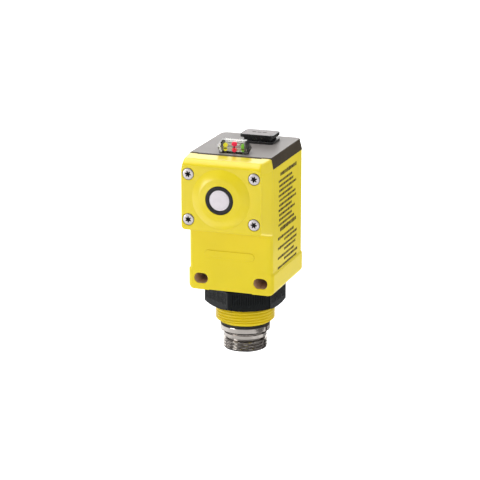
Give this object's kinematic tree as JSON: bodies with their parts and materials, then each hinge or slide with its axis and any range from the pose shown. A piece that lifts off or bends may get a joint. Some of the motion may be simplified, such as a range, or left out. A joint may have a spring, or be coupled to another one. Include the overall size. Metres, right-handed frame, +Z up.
{
  "type": "ultrasonic proximity sensor",
  "caption": "Block-shaped ultrasonic proximity sensor with a domed sensing head, smoked top cover with lamps and push button, M30 threaded base with jam nut and screw connector.",
  "frame": {"origin": "on the axis of the M30 boss, in the plane of the housing's underside", "axes": "+Z up along the boss axis, -Y out of the sensing face, +X to the right seen from the front"},
  "size_m": [0.0446, 0.0639, 0.1103],
  "materials": {
    "housing_yellow": "moulded thermoplastic polyester, satin gloss",
    "seal_black": "matt black rubber",
    "screw_steel": "stainless steel, satin",
    "insert_brass": "knurled brass",
    "face_white": "matt off-white coating",
    "ring_rubber": "smooth black rubber",
    "can_aluminium": "drawn aluminium",
    "piezo_ceramic": "unglazed ceramic with silver electrode",
    "wire_red": "plastic insulation",
    "cover_smoke": "smoked translucent plastic, polished",
    "lens_clear": "clear moulded plastic",
    "lamp_yellow": "lit lamp",
    "lamp_red": "lit lamp",
    "lamp_green": "lit lamp",
    "button_black": "moulded black plastic, semi-gloss",
    "label_grey": "printed polyester film",
    "switch_grey": "moulded plastic",
    "board_green": "solder-masked glass-fibre laminate",
    "carrier_grey": "moulded plastic",
    "chip_black": "moulded epoxy",
    "ferrite_grey": "ferrite",
    "capacitor_sleeve": "sleeved aluminium can",
    "wire_brown": "plastic insulation",
    "nickel": "nickel-plated brass, polished",
    "insert_black": "moulded plastic",
    "pin_gold": "gold-plated contact",
    "nut_black": "glass-filled nylon, ribbed"
  },
  "bodies": {
    "sensor_body": {"housing": "housing_yellow", "sensing_head": "housing_yellow", "head_gasket": "seal_black", "head_screws": "screw_steel", "screw_inserts": "insert_brass", "transducer_face": "face_white", "transducer_ring": "ring_rubber", "transducer_can": "can_aluminium", "piezo_disc": "piezo_ceramic", "transducer_leads": "wire_red", "top_cover": "cover_smoke", "cover_gasket": "seal_black", "indicator_lens": "lens_clear", "led_yellow": "lamp_yellow", "led_red": "lamp_red", "led_green": "lamp_green", "button_bezel": "button_black", "button_seal": "seal_black", "switch_body": "switch_grey", "top_board": "board_green", "main_board": "board_green", "power_board": "board_green", "board_carrier": "carrier_grey", "board_headers": "chip_black", "drive_transformer": "ferrite_grey", "supply_capacitors": "capacitor_sleeve", "board_chips": "chip_black", "connector_wires": "wire_brown", "connector_seal": "seal_black", "connector_shell": "nickel", "connector_insert": "insert_black", "contact_pins": "pin_gold"},
    "button": {"button_cap": "button_black", "button_label": "label_grey"},
    "plunger": {"switch_plunger": "button_black"},
    "nut_carrier": {"nut_washer": "seal_black"},
    "nut": {"mounting_nut": "nut_black"}
  },
  "joints": [
    {"name": "button_press", "type": "slide", "parent": "sensor_body", "child": "button", "axis": [0, 0, -1], "range_m": [0, 0.0006], "stiffness_N_per_m": 3000},
    {"name": "plunger_press", "type": "slide", "parent": "sensor_body", "child": "plunger", "axis": [0, 0, -1], "range_m": [0, 0.0006]},
    {"name": "nut_run", "type": "slide", "parent": "sensor_body", "child": "nut_carrier", "axis": [0, 0, -1], "range_m": [0, 0.00601]},
    {"name": "nut_turn", "type": "hinge", "parent": "nut_carrier", "child": "nut", "pos_m": [0, 0, 0], "axis": [0, 0, -1], "range_deg": [0, 1440]}
  ],
  "couplings": [
    {"joint": "plunger_press", "follows": "button_press", "ratio": 1},
    {"joint": "nut_run", "follows": "nut_turn", "m_per_rad": 0.00023873}
  ]
}
